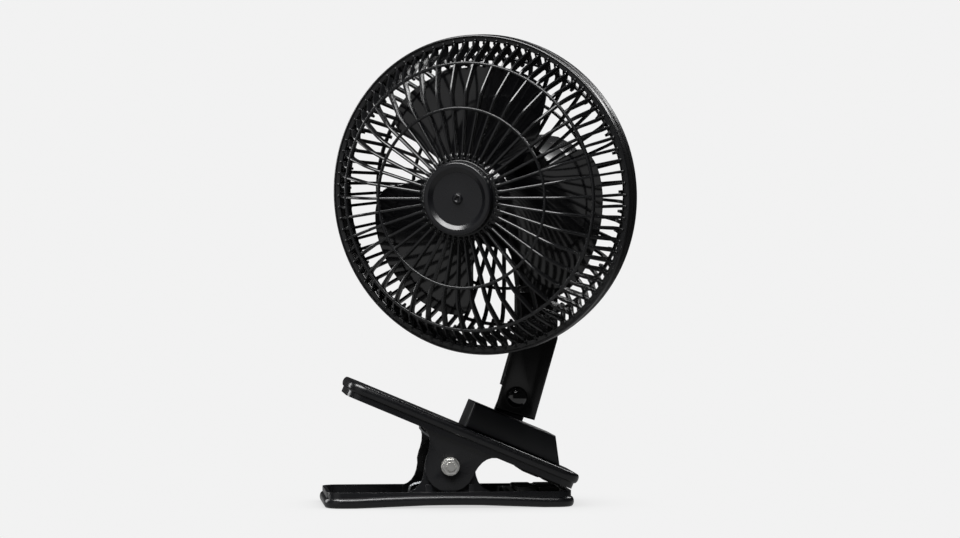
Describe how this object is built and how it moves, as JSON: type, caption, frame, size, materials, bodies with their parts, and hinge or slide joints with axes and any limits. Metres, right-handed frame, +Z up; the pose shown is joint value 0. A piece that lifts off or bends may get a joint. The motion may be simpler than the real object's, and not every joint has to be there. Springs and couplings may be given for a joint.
{
  "type": "clip fan",
  "caption": "Small caged table fan on a leaning neck above a switch box and a wide spring clip; head swivels and tilts, blades spin.",
  "frame": {"origin": "on the surface the clip stands on, under the middle of the outline box", "axes": "+Z up, +X along the clip from handles to jaws, -Y the side the head looks out from"},
  "size_m": [0.1726, 0.1646, 0.2721],
  "materials": {
    "satin_black": "satin moulded, fine spark texture",
    "grey_black": "satin moulded",
    "gloss_black": "polished",
    "slate_black": "fine matt texture",
    "rubber_black": "matt",
    "zinc_steel": "bright zinc plate",
    "spring_steel": "oiled drawn wire",
    "copper": "varnished winding",
    "bronze": "sintered",
    "laminate": "stacked sheet edges"
  },
  "bodies": {
    "lower_jaw": {"lower_lever": "satin_black", "lower_tip_pad": "rubber_black", "lower_inner_pad": "rubber_black", "clip_bolt": "zinc_steel", "clip_nut": "zinc_steel", "clip_washer": "zinc_steel", "clip_spacer": "zinc_steel", "clip_spring": "spring_steel"},
    "upper_jaw": {"upper_lever": "satin_black", "upper_tip_pad": "rubber_black", "upper_inner_pad": "rubber_black", "switch_box": "slate_black", "box_screw_1": "zinc_steel", "box_screw_2": "zinc_steel", "switch_body": "grey_black", "cord_gland": "rubber_black"},
    "rocker": {"speed_rocker": "gloss_black"},
    "neck": {"neck_arm": "slate_black", "neck_bolt": "gloss_black", "neck_washer": "zinc_steel", "neck_nut": "zinc_steel"},
    "swivel": {"swivel_yoke": "slate_black", "swivel_washer": "zinc_steel", "swivel_nut": "zinc_steel", "tilt_bolt": "zinc_steel", "tilt_nut": "zinc_steel"},
    "head": {"front_grille": "grey_black", "hub_cap": "satin_black", "rear_grille": "satin_black", "grille_screw_1": "zinc_steel", "grille_screw_2": "zinc_steel", "grille_screw_3": "zinc_steel", "front_housing": "satin_black", "rear_housing": "satin_black", "front_bearing": "bronze", "rear_bearing": "bronze", "stator_core": "laminate", "stator_coil_1": "copper", "stator_coil_2": "copper", "stator_coil_3": "copper", "stator_coil_4": "copper"},
    "rotor": {"motor_shaft": "zinc_steel", "rotor_core": "laminate", "fan_blade": "gloss_black", "blade_nut": "gloss_black"}
  },
  "joints": [
    {"name": "clip_hinge", "type": "hinge", "parent": "lower_jaw", "child": "upper_jaw", "pos_m": [-0.01192, 0.04786, 0.024], "axis": [0, -1, 0], "range_deg": [0, 40], "stiffness_Nm_per_rad": 1.2, "springref_deg": -51.57, "deforming": ["clip_spring"]},
    {"name": "speed_rocker_hinge", "type": "hinge", "parent": "upper_jaw", "child": "rocker", "pos_m": [0.02241, 0.06856, 0.04374], "axis": [0.3875, 0, 0.9219], "range_deg": [-10, 10]},
    {"name": "neck_tilt", "type": "hinge", "parent": "upper_jaw", "child": "neck", "pos_m": [0.02954, 0.04786, 0.06276], "axis": [0, 1, 0], "range_deg": [-30, 40]},
    {"name": "head_swivel", "type": "hinge", "parent": "neck", "child": "swivel", "pos_m": [0.04165, 0.04786, 0.12442], "axis": [0, 0, 1], "range_deg": [-150, 150]},
    {"name": "head_tilt", "type": "hinge", "parent": "swivel", "child": "head", "pos_m": [0.04165, 0.04786, 0.14742], "axis": [0.8829, -0.4695, 0], "range_deg": [-25, 25]},
    {"name": "fan_spin", "type": "hinge", "parent": "head", "child": "rotor", "pos_m": [0.00022, -0.03007, 0.18095], "axis": [-0.4683, -0.8808, -0.0698], "continuous": true}
  ]
}
